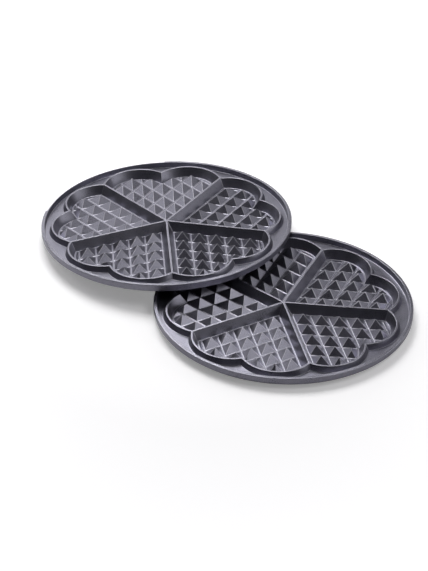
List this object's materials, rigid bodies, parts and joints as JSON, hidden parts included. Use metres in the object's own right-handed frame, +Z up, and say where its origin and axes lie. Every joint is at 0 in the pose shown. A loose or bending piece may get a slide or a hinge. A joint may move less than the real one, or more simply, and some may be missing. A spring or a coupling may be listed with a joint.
{
  "type": "heart waffle plate set",
  "caption": "Round cast waffle plates with heart-shaped pockets of baking pyramids, one leaning on the other's rim.",
  "frame": {"origin": "on the table, on the axis of the lower plate", "axes": "+Z up out of the lower plate's baking face, +Y along one of its hearts, +X to the right of it"},
  "size_m": [0.3074, 0.3666, 0.0273],
  "materials": {
    "nonstick_aluminium": "satin dark grey non-stick coating on die-cast aluminium"
  },
  "bodies": {
    "lower_plate": {"lower_waffle_plate": "nonstick_aluminium"},
    "upper_plate": {"upper_waffle_plate": "nonstick_aluminium"}
  },
  "joints": [
    {"name": "upper_plate_lift", "type": "slide", "parent": "lower_plate", "child": "upper_plate", "axis": [0, 0, 1], "range_m": [0, 0.15]}
  ]
}
